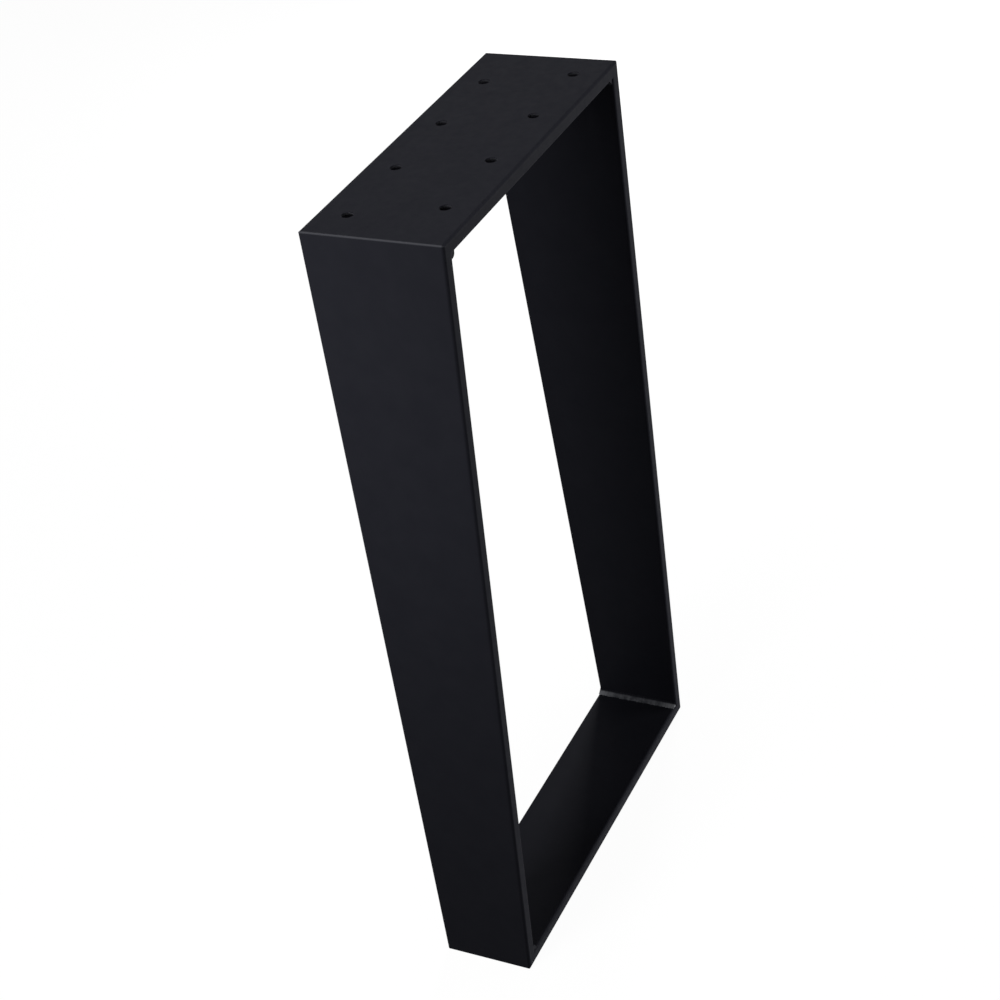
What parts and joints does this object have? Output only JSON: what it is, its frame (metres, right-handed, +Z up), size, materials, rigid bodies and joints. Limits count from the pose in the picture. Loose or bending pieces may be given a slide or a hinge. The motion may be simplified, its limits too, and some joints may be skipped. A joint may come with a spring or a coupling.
{
  "type": "table leg",
  "caption": "Closed trapezoid table leg of mitred, welded flat steel bar with a drilled top plate and a flat foot, coated satin black.",
  "frame": {"origin": "middle of the foot bar's underside, on the floor", "axes": "+Z up to the table top, X along the foot bar, Y across the flat bars"},
  "size_m": [0.37, 0.1198, 0.71],
  "materials": {
    "black_coat": "satin powder coat"
  },
  "bodies": {
    "root": {"top_plate": "black_coat", "foot_bar": "black_coat", "left_upright": "black_coat", "right_upright": "black_coat", "top_left_weld": "black_coat", "top_right_weld": "black_coat", "foot_left_weld": "black_coat", "foot_right_weld": "black_coat"}
  },
  "joints": []
}
